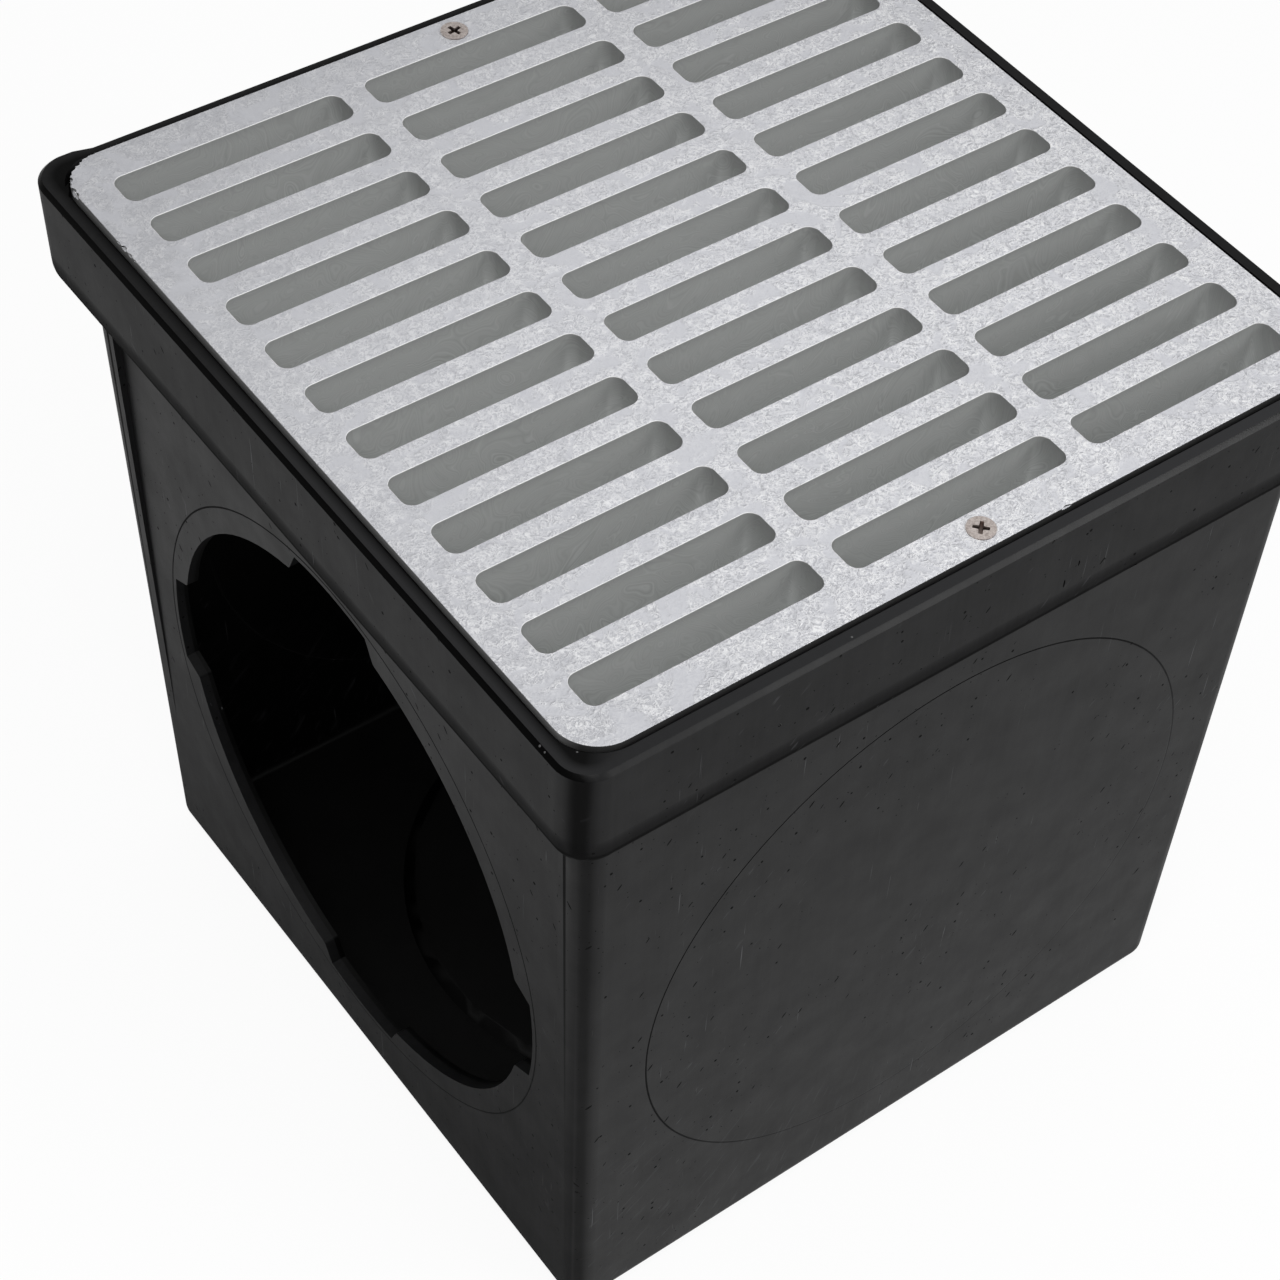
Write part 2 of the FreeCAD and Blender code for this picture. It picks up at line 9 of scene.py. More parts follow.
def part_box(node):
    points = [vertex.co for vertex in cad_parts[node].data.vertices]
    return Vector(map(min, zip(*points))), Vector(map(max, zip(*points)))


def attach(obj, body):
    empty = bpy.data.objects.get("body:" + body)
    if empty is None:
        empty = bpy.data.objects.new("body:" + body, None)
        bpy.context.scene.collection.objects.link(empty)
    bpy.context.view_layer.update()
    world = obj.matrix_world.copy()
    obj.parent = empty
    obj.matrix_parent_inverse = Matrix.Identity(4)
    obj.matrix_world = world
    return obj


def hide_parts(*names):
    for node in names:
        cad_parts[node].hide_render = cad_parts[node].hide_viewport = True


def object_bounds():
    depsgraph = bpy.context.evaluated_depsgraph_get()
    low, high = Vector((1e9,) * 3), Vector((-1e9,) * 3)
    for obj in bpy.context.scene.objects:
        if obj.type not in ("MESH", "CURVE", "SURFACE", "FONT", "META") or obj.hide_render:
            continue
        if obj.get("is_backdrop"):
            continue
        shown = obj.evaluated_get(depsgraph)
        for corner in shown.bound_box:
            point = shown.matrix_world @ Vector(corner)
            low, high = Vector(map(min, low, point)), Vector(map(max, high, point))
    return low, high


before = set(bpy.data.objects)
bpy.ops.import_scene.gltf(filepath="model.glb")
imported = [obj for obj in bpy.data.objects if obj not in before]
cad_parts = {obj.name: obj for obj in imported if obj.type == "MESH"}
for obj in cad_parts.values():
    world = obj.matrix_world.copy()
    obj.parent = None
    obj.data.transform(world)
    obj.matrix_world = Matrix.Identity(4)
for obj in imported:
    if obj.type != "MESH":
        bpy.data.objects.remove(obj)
START_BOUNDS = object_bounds()

# Lengths are in metres
MM = 0.001
SEED = 7

# Camera, solved from the photograph's edges
GRATE_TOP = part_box("grate")[1].z
CAMERA_PLACE = Vector((-0.42882, -0.53474, 0.58375 + GRATE_TOP))
CAMERA_RIGHT = Vector((0.78988, -0.60878, 0.07400))
CAMERA_UP = Vector((0.44946, 0.65677, 0.60551))
CAMERA_BACK = Vector((-0.41722, -0.44502, 0.79239))
CAMERA_LENS = 76.07
CAMERA_SHIFT = (-0.1179, 0.1621)
SENSOR_WIDTH = 36.0
CLIPS = (0.01, 50.0)

# Basin, as the CAD has it
BASIN_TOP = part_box("basin")[1].z
RIM_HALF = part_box("basin")[1].x
RIM_LOW = BASIN_TOP - 39.5 * MM
RIM_LOW_ROUND = 2.5 * MM
RIM_TOP_ROUND = 1.5 * MM
RIM_CORNER = 12 * MM
CAVITY_HALF = 142.5 * MM
OUTLET_HEIGHT = 148 * MM

# Its rim as moulded: the lower round is drawn out and hangs lower, and the top round is nearly flat
RIM_DROP = 0.9 * MM
RIM_FOOT = RIM_LOW - RIM_DROP
SOFT_RISE = 7 * MM
SOFT_DEPTH = 2.8 * MM
FLATTEN = 0.9

# Points this close are one, and lengths this close are the same
WELD = 0.001 * MM
NEAR = 0.02 * MM

# Bow of the rim: the back lies in and down between its corners, and the left side down
BACK_IN = 0.7 * MM
BACK_LOW = 0.9 * MM
BOW_START = 141 * MM
BOW_FULL = 134 * MM
BOW_BELOW = 2 * MM
BOW_DEPTHS = (3 * MM, 5 * MM)
LOWERED_DEPTH = 7 * MM
LOWERED_HEIGHT = 4 * MM
LEFT_LOWERED = (-100 * MM, 150 * MM)

# Chips in the rim: place and radius in mm, and stretch
EDGE = RIM_HALF / MM - 0.2
TOP = BASIN_TOP / MM
FOOT = RIM_FOOT / MM
RIM_CHIPS = (
    ((-EDGE, -138.5, TOP - 0.4), 0.9, (1.0, 1.6, 0.8)),
    ((-EDGE, -141.0, TOP - 0.5), 0.6, (1.0, 1.3, 0.8)),
    ((59.5, -EDGE + 0.9, FOOT + 1.8), 1.7, (1.5, 1.0, 1.0)),
    ((26.4, -EDGE - 0.1, TOP - 26.3), 0.7, (0.8, 0.6, 2.8)),
    ((31.3, -EDGE - 0.1, TOP - 19.7), 0.6, (0.8, 0.6, 2.4)),
    ((-86.0, -EDGE - 0.1, TOP - 19.4), 0.6, (1.2, 0.6, 1.2)),
)
UNEVEN = (0.75, 1.2)

# Light nicks on the rim: place and radius in mm
SPECKS = (
    (-157.0, -138.2, 335.6, 0.4), (-157.0, -140.8, 335.4, 0.35), (-149.8, -146.1, 336, 0.3),
    (-144.1, -149.1, 336, 0.3), (-59.2, -155.4, 336, 0.35), (-86.0, -157.9, 316.6, 0.6),
)

# Grate
GRATE_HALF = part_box("grate")[1].x
GRATE_CORNER = 15 * MM
GRATE_DEPTH = GRATE_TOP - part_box("grate")[0].z
EDGE_ROUND = 0.5 * MM
SAME_PLANE = math.radians(0.3)
LEVEL_NORMAL = 0.9

# Chips round the grate's far-left corner: how many, their angles in degrees, and their places and radii in mm
CORNER_CHIPS = 10
CORNER_START = 92
CORNER_STEP = 10
CORNER_JITTER = 3
CORNER_OUT = 0.5
CORNER_DOWN = 0.2
CORNER_RADII = (1.2, 2.4)
CORNER_STRETCH = (1, 1, 1.2)

# Chips in its left and its front edge: place along the edge and radius, in mm
LEFT_CHIPS = ((108, 1.0), (104.5, 1.5), (100.5, 1.1), (97, 0.8), (62, 0.6), (-20, 0.5))
LEFT_OUT = 0.35
LEFT_DOWN = 0.1
LEFT_STRETCH = (1, 1.6, 1)
FRONT_CHIP = (28, 1.1)
FRONT_OUT = 0.4
FRONT_STRETCH = (2.4, 1, 1)

# Screws
SCREW_Y = 143.5 * MM
SCREW_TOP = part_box("grate_screws")[1].z
CROSS_TURNS = {-1: math.radians(44), 1: math.radians(12)}
RECESS_REACH = 2.6 * MM
RECESS_FLOOR = 2.5 * MM
RECESS_STRETCH = 1.2

# Edges sharper than these, in degrees, stay sharp
SHARP = 30
GRATE_SHARP = 40


# Node helpers


def new_material(name):
    """A material with a Principled shader, as (material, its node tree, the shader)."""
    material = bpy.data.materials.new(name)
    material.use_nodes = True
    tree = material.node_tree
    shader = next(n for n in tree.nodes if n.type == "BSDF_PRINCIPLED")
    return material, tree, shader


class Nodes:
    """Builds nodes in one tree, with short calls."""

    def __init__(self, tree):
        self.tree = tree
        coordinates = self.add("ShaderNodeTexCoord").outputs
        self.place = coordinates["Object"]
        self.normal = coordinates["Normal"]

    def add(self, kind, **settings):
        node = self.tree.nodes.new(kind)
        for name, setting in settings.items():
            setattr(node, name, setting)
        return node

    def link(self, value, socket):
        if isinstance(value, bpy.types.NodeSocket):
            self.tree.links.new(value, socket)
        else:
            socket.default_value = value

    def math(self, operation, *values):
        node = self.add("ShaderNodeMath", operation=operation)
        for value, socket in zip(values, node.inputs):
            self.link(value, socket)
        return node.outputs[0]

    def plus(self, first, second):
        return self.math("ADD", first, second)

    def minus(self, first, second):
        return self.math("SUBTRACT", first, second)

    def above(self, value, limit):
        return self.math("GREATER_THAN", value, limit)

    def below(self, value, limit):
        return self.math("LESS_THAN", value, limit)

    def absolute(self, value):
        return self.math("ABSOLUTE", value)

    def flipped(self, value):
        return self.minus(1.0, value)

    def times(self, *values):
        product = values[0]
        for value in values[1:]:
            product = self.math("MULTIPLY", product, value)
        return product

    def most(self, *values):
        largest = values[0]
        for value in values[1:]:
            largest = self.math("MAXIMUM", largest, value)
        return largest

    def length(self, x, y):
        return self.math("SQRT", self.plus(self.times(x, x), self.times(y, y)))

    def parts(self, vector):
        node = self.add("ShaderNodeSeparateXYZ")
        self.link(vector, node.inputs[0])
        return node.outputs

    def joined(self, x, y=0.0, z=0.0):
        node = self.add("ShaderNodeCombineXYZ")
        for value, socket in zip((x, y, z), node.inputs):
            self.link(value, socket)
        return node.outputs[0]

    def scaled(self, scale):
        node = self.add("ShaderNodeMapping")
        self.link(self.place, node.inputs["Vector"])
        self.link(scale, node.inputs["Scale"])
        return node.outputs[0]

    def drawn_out(self, source, turn, stretch):
        """Coordinates in which a pattern comes out longer by stretch along a turned Y axis."""
        node = self.add("ShaderNodeMapping", vector_type="TEXTURE")
        self.link(source, node.inputs["Vector"])
        self.link((0, 0, turn), node.inputs["Rotation"])
        self.link((1, stretch, 1), node.inputs["Scale"])
        return node.outputs[0]

    def noise(self, scale, detail=3.0, rough=0.5, twist=0.0, source=None):
        node = self.add("ShaderNodeTexNoise")
        self.link(source or self.place, node.inputs["Vector"])
        self.link(scale, node.inputs["Scale"])
        self.link(detail, node.inputs["Detail"])
        self.link(rough, node.inputs["Roughness"])
        self.link(twist, node.inputs["Distortion"])
        return node.outputs[0]

    def cells(self, scale, source):
        """Distance to the nearest of points scattered in a plane, and that point's random number."""
        node = self.add("ShaderNodeTexVoronoi", feature="F1", voronoi_dimensions="2D")
        self.link(source, node.inputs["Vector"])
        self.link(scale, node.inputs["Scale"])
        return node.outputs["Distance"], self.parts(node.outputs["Color"])[0]

    def span(self, value, low, high, to_low=0.0, to_high=1.0, smooth=False):
        """The value's place between low and high, given out between to_low and to_high."""
        node = self.add("ShaderNodeMapRange")
        if smooth:
            node.interpolation_type = "SMOOTHSTEP"
        names = ("Value", "From Min", "From Max", "To Min", "To Max")
        for name, part in zip(names, (value, low, high, to_low, to_high)):
            self.link(part, node.inputs[name])
        return node.outputs[0]

    def fade(self, value, low, high, smooth=False):
        """1 up to low, falling to 0 at high."""
        return self.span(value, low, high, 1.0, 0.0, smooth)

    def line(self, value, centre, half, soft):
        """1 where the value is within half of centre, fading to 0 over soft."""
        away = self.absolute(self.minus(value, centre))
        return self.fade(away, half, half + soft, smooth=True)

    def ridges(self, value, gain):
        """0 along the lines where a noise value passes its middle, rising to both sides."""
        return self.times(self.absolute(self.minus(value, 0.5)), gain)

    def rounded_reach(self, x, y, half, corner):
        """How far out a point lies, as the half width of the rounded square through it."""
        past = [self.most(self.minus(self.absolute(part), half - corner), 0.0) for part in (x, y)]
        return self.plus(self.length(*past), half - corner)

    def near(self, place, radius):
        """1 within that radius of a place."""
        node = self.add("ShaderNodeVectorMath", operation="DISTANCE")
        self.link(self.place, node.inputs[0])
        self.link(place, node.inputs[1])
        return self.below(node.outputs["Value"], radius)

    def combed(self, scale, twist, gain):
        """Fine curling lines that follow a soft noise."""
        return self.noise(1.0, 2, 0.5, 0.0, self.joined(self.times(self.noise(scale, 2, 0.5, twist), gain)))

    def dots(self, scale, radius, share, source):
        """Scattered round spots of about that radius, on that share of the cells."""
        distance, chance = self.cells(scale, source)
        size = self.span(chance, 1 - share, 1.0, 0.4 * radius * scale, radius * scale)
        return self.times(self.below(distance, size), self.above(chance, 1 - share))

    def blend(self, share, first, second):
        node = self.add("ShaderNodeMix", data_type="RGBA")
        colour_inputs = [s for s in node.inputs if s.type == "RGBA"]
        self.link(share, node.inputs[0])
        self.link(first, colour_inputs[0])
        self.link(second, colour_inputs[1])
        return next(s for s in node.outputs if s.type == "RGBA")

    def bump(self, height, strength, distance, normal=None):
        node = self.add("ShaderNodeBump")
        self.link(height, node.inputs["Height"])
        self.link(strength, node.inputs["Strength"])
        self.link(distance, node.inputs["Distance"])
        if normal:
            self.link(normal, node.inputs["Normal"])
        return node.outputs[0]


def grey(level, tint=(1, 1, 1)):
    return (level * tint[0], level * tint[1], level * tint[2], 1)


# Basin's plastic. Pairs are the low and the high end of a fade.

COOL = (0.98, 0.99, 1.05)
BLACK = (grey(0.0035, COOL), grey(0.0055, COOL))
STREAK = grey(0.014, COOL)
SHADED = grey(0.0004)
DULL_TOP = grey(0.012, COOL)
PAINTED_LIGHT_TOP = grey(0.024, COOL)
SCRATCHED = grey(0.06, COOL)
WITNESS_AND_SHADOW_LINE = grey(0.0012)
HOLE_SHADE = grey(0.0006)
NICKED = grey(0.10)

# The normal's parts, as sizes from 0 to 1
FACING = 0.95
WALL_UP = 0.5
UPRIGHT_UP = 0.3
FLAT_UP = (0.9, 0.97)
BEND_LARGEST = (0.90, 0.995)
POST_LARGEST = (0.76, 0.98)
LIP_UP = (0.3, 0.4)
LIP_SIDE = (0.3, 0.5)
CURVE_DOWN = (0.03, 0.2)
RUBBED_SIDE = (0.8, 0.9)

# Where the rim's painted-shade bands, its painted light along the front of the top, and the rubbed side lie
FOOT_BAND = 11 * MM
POST_BLEND = 2 * MM
GRATE_SHADE = (152.3 * MM, 155.3 * MM)
FRONT_CORNER = (0.0, 16 * MM)
PAINTED_LIGHT_Y = -140 * MM
PAINTED_LIGHT_X = (-150 * MM, 150 * MM)
DULL_Y = (0.0, 60 * MM)
RUBBED_X = -140 * MM
RUBBED_HEIGHT = (0.0, 250 * MM)
LIP_SHINE_X = (-140 * MM, 150 * MM)

# Moulding circles: height of centre and radius, half width and softness, and how they fade on the blank sides
OUTLET_WITNESS = (OUTLET_HEIGHT, 120 * MM)
BLANK_WITNESS = (150 * MM, 119.6 * MM)
WITNESS_LINE = (0.22 * MM, 0.2 * MM)
WITNESS_TILT = 0.7
WITNESS_FADE = (60 * MM, 200 * MM)
WITNESS_LEAST = 0.12

# Brushed marks low on the blank sides: how dense round and out, and where they lie
STROKES_ROUND = 75.0
STROKES_OUT = 55.0
STROKES_AWAY = (85 * MM, 105 * MM)
STROKES_HEIGHT = (60 * MM, 110 * MM)
STROKES_X = (-60 * MM, 20 * MM)

# Painted shadow lines: the dark steps beside the corner posts
POST_EDGE = 137.2 * MM
POST_TOP = 271 * MM
POST_LEAN = 0.0094
POST_FADE = (0.0, 250 * MM)
POST_THINS = (0.0, 220 * MM)
POST_WIDTHS = (0.75 * MM, 0.15 * MM)

# Holes: cells per metre, largest radius, and share of the cells that hold one
PITS = (82, 0.65 * MM, 0.45)
PINHOLES = (230, 0.3 * MM, 0.25)
NICKS = (120, 0.42 * MM, 0.4)
NICK_SLANT = (math.radians(-38), 4.0)

# Streaks and scratches: pattern scales, and the slant and stretch of scuffs
STREAK_SCALE = (520, 520, 16)
DRAG_SCALE = (900, 900, 30)
SCUFF_SLANT = (math.radians(-42), 5.0)

# Gloss and relief. Each bump has its strength and its height.
ROUGH = (0.48, 0.56)
DULLER = 0.45
RIM_DULLER = 0.08
LIP_SHINE = (0.14, 0.38)
SPECULAR = (0.15, 0.05)
WAVE_BUMP = (0.03, 1.2 * MM)
GRAIN_BUMP = (0.35, 0.06 * MM)
FLARE_BUMP = (1.0, 2.2 * MM)
HOLE_BUMP = (0.9, 0.5 * MM)


def witness_lines(n, x, y, z, facing_x, facing_y):
    """The fine moulding circles round the outlets and on the blank sides."""
    fading = n.span(n.minus(z, n.times(x, WITNESS_TILT)), *WITNESS_FADE, WITNESS_LEAST, 1.0)
    marks = []
    for across, (centre, radius), shown in (
        (y, OUTLET_WITNESS, facing_x),
        (x, BLANK_WITNESS, n.times(facing_y, fading)),
    ):
        away = n.length(across, n.minus(z, centre))
        marks.append(n.times(n.line(away, radius, *WITNESS_LINE), shown))
    return n.most(*marks)


def strokes(n, x, z, facing_y):
    """Short brushed marks that fan out low on the blank sides."""
    up = n.minus(z, BLANK_WITNESS[0])
    away = n.length(x, up)
    fan = n.joined(n.times(n.math("ARCTAN2", up, x), STROKES_ROUND), n.times(away, STROKES_OUT))
    marks = n.span(n.noise(1.0, 2, 0.5, 0.3, fan), 0.60, 0.68)
    low = n.times(n.span(away, *STROKES_AWAY), n.fade(z, *STROKES_HEIGHT), n.fade(x, *STROKES_X))
    return n.times(marks, low, facing_y)


def post_shadow_lines(n, x, y, z):
    """The dark steps beside the corner posts as painted shadow lines, fading out towards the foot."""
    fall = n.minus(POST_TOP, z)
    edge = n.plus(POST_EDGE, n.times(fall, POST_LEAN))
    off = n.absolute(n.minus(n.absolute(y), edge))
    width = n.span(fall, *POST_THINS, *POST_WIDTHS)
    on_side = n.times(n.above(n.absolute(x), CAVITY_HALF), n.below(z, RIM_FOOT))
    return n.times(n.below(off, width), on_side, n.span(fall, *POST_FADE, 1.0, 0.2))


def face_plane(n, x, y, z, nx, ny):
    """Coordinates along each side's face, with a shift that sets the four sides apart."""
    on_y = n.above(ny, nx)
    on_x = n.flipped(on_y)
    across = n.plus(n.times(x, on_y), n.times(y, on_x))
    shift = n.plus(n.times(n.math("SIGN", y), on_y, 0.9), n.times(n.math("SIGN", x), on_x, 0.37))
    return across, n.joined(n.plus(across, shift), z)


def basin_plastic():
    """Black plastic with faint flow clouds, drag streaks, pits, nicks and scratches, and painted shade and
    light.
    """
    material, tree, shader = new_material("basin_black_plastic")
    n = Nodes(tree)
    x, y, z = n.parts(n.place)
    up = n.parts(n.normal)[2]
    nx, ny, nz = (n.absolute(part) for part in n.parts(n.normal))
    across, face = face_plane(n, x, y, z, nx, ny)

    # Faces and edges, and where shade is painted: inside, on the rounded corners, along the rim's foot and on
    # its left top edge
    facing_x, facing_y = n.above(nx, FACING), n.above(ny, FACING)
    wall, upright = n.below(nz, WALL_UP), n.below(nz, UPRIGHT_UP)
    inside = n.below(n.most(n.absolute(x), n.absolute(y)), CAVITY_HALF)
    post = n.times(n.fade(n.most(nx, ny), *POST_LARGEST, smooth=True), upright)
    post = n.times(post, n.span(z, RIM_LOW - POST_BLEND, RIM_LOW, 0.5, 1.0))
    above_foot = n.minus(z, RIM_FOOT)
    on_rim = n.above(above_foot, -0.1 * MM)
    curve = n.span(n.times(up, -1.0), *CURVE_DOWN)
    rim_foot_shade = n.times(n.most(n.times(n.fade(above_foot, 0.0, FOOT_BAND), upright), curve), on_rim)
    lip = n.times(n.fade(n.most(nx, ny, nz), *BEND_LARGEST), n.span(up, *LIP_UP))
    left_lip_shade = n.times(lip, n.span(nx, *LIP_SIDE))

    # The rim's flat top: painted shade next to the grate, and painted light along the front
    flat_top = n.times(n.span(nz, *FLAT_UP), n.above(z, BASIN_TOP - 1 * MM))
    front = n.span(n.minus(x, y), *FRONT_CORNER)
    left = n.flipped(front)
    reach = n.rounded_reach(x, y, RIM_HALF, RIM_CORNER)
    shade_by_grate = n.times(flat_top, left, n.fade(reach, *GRATE_SHADE))
    painted_light_top = n.times(flat_top, front, n.below(y, PAINTED_LIGHT_Y), n.span(x, *PAINTED_LIGHT_X, 0.3, 1.0))
    dull_top = n.times(flat_top, left, n.fade(y, *DULL_Y))

    # The left side, duller towards the foot
    rubbed = n.fade(n.plus(z, n.times(y, 0.5)), *RUBBED_HEIGHT)
    rubbed = n.times(rubbed, n.below(x, RUBBED_X), n.span(nx, *RUBBED_SIDE))

    # Pits, pinholes and slanting nicks, in clusters
    towards = n.times(n.minus(z, across), 0.35)
    clusters = n.span(n.plus(n.noise(13, 2), towards), 0.46, 0.60)
    nicks = n.dots(*NICKS, n.drawn_out(face, *NICK_SLANT))
    holes = n.most(n.dots(*PITS, face), n.dots(*PINHOLES, face), nicks)
    holes = n.above(n.times(holes, clusters, wall), 0.35)

    # Scratches and marks
    patches = n.span(n.noise(22, 2), 0.5, 0.6)
    drag = n.noise(1.0, 2, 0.5, 0.0, n.scaled(DRAG_SCALE))
    scratches = n.times(n.span(drag, 0.70, 0.73), patches, wall)
    scuffs = n.span(n.noise(520, 2, 0.5, 0.0, n.drawn_out(face, *SCUFF_SLANT)), 0.66, 0.72)
    scuffs = n.times(scuffs, n.span(clusters, 0.5, 1.0), n.span(n.noise(24, 2), 0.5, 0.6), wall)
    scratches = n.most(scratches, n.times(scuffs, 0.4), n.times(strokes(n, x, z, facing_y), 0.3))
    lines = n.most(witness_lines(n, x, y, z, facing_x, facing_y), post_shadow_lines(n, x, y, z))
    specks = n.most(*(n.near((a * MM, b * MM, c * MM), r * MM) for a, b, c, r in SPECKS))
    specks = n.times(specks, n.span(n.noise(900, 2), 0.4, 0.5), 0.8)

    # Colour
    streaks = n.noise(1.0, 3, 0.6, 0.2, n.scaled(STREAK_SCALE))
    tone = n.blend(n.span(n.noise(11, 5, 0.55, 0.8), 0.3, 0.7), *BLACK)
    tone = n.blend(n.span(streaks, 0.35, 0.75, 0.0, 0.25), tone, STREAK)
    tone = n.blend(dull_top, tone, DULL_TOP)
    # Painted shade: inside the basin, on the rounded corners, in a band along the rim's foot, on the rim's
    # top next to the grate, and on its left top edge
    tone = n.blend(n.most(inside, n.times(post, 0.9), rim_foot_shade, shade_by_grate, left_lip_shade), tone, SHADED)
    # Painted light along the front of the rim's top, rising towards the right
    tone = n.blend(painted_light_top, tone, PAINTED_LIGHT_TOP)
    tone = n.blend(n.times(scratches, 0.8), tone, SCRATCHED)
    # Moulding circles, and painted shadow lines beside the corner posts
    tone = n.blend(n.times(lines, 0.85), tone, WITNESS_AND_SHADOW_LINE)
    # Painted shade in the pits, pinholes and nicks
    tone = n.blend(holes, tone, HOLE_SHADE)
    n.link(n.blend(specks, tone, NICKED), shader.inputs["Base Color"])

    # Gloss: duller in holes and along dark bands, shinier on the rim's top edge
    dull = n.most(holes, lines, post, n.times(rim_foot_shade, 0.9), shade_by_grate, n.times(rubbed, 0.65))
    rough = n.plus(n.span(n.noise(60, 4, 0.6), 0.3, 0.7, *ROUGH), n.times(dull, DULLER))
    rough = n.plus(rough, n.times(on_rim, upright, RIM_DULLER))
    rough = n.minus(rough, n.times(lip, n.span(x, *LIP_SHINE_X, *LIP_SHINE)))
    n.link(rough, shader.inputs["Roughness"])
    n.link(n.span(left_lip_shade, 0.0, 1.0, *SPECULAR), shader.inputs["Specular IOR Level"])

    # Relief: soft waves, grain and scratches, the rim's flare towards its foot, and the holes and lines
    relief = n.bump(n.noise(26, 3, 0.55), *WAVE_BUMP)
    grain = n.plus(n.noise(1700, 2, 0.5), n.times(scratches, 2.0))
    relief = n.bump(grain, *GRAIN_BUMP, relief)
    flare = n.times(n.fade(above_foot, 0.0, FOOT_BAND, smooth=True), on_rim)
    relief = n.bump(flare, *FLARE_BUMP, relief)
    n.link(n.bump(n.flipped(n.most(holes, lines)), *HOLE_BUMP, relief), shader.inputs["Normal"])
    return material


# Grate's plastic and the screws' steel

GREENISH = (0.977, 1.0, 0.987)
TOP_SHADES = (grey(0.345, COOL), grey(0.575, COOL))
MARBLED = grey(0.56, COOL)
CRUMPLED = grey(0.37, COOL)
CREST_HIGHLIGHT = grey(0.88)
SMOOTHED = grey(0.48, COOL)
SLOT_WALL = (grey(0.27, GREENISH), grey(0.76, GREENISH))
WALL_MARK_AND_SHADE = grey(0.16, GREENISH)
OUTER_SIDE_SHADE = grey(0.17)
FRONT_SIDE_SHADE = grey(0.03)
LIT_EDGE = grey(0.92)

# Painted light: the top is lightest at one place and fades with the square of the distance; and the crumple
# grows with x - y
PAINTED_LIGHT_PLACE = (60 * MM, -70 * MM)
PAINTED_LIGHT_FADE = 0.07
CRUMPLE_SPAN = (-0.22, 0.12)
WALL_LIT_DEPTH = 0.6
SIDE_BAND = 0.9 * MM
GRATE_ROUGH = (0.38, 0.55)
EDGE_SHINE = 0.2
GRATE_SPECULAR = 0.4
CRUMPLE_BUMP = (0.7, 0.5 * MM)

NICKEL = ((0.50, 0.43, 0.40, 1), (0.78, 0.71, 0.67, 1))
CROSS_DARK = (0.10, 0.07, 0.06, 1)
CROSS_DEPTHS = (0.9 * MM, 0.15 * MM)
STEEL_ROUGH = (0.30, 0.5)
WORN_BUMP = (0.3, 0.1 * MM)


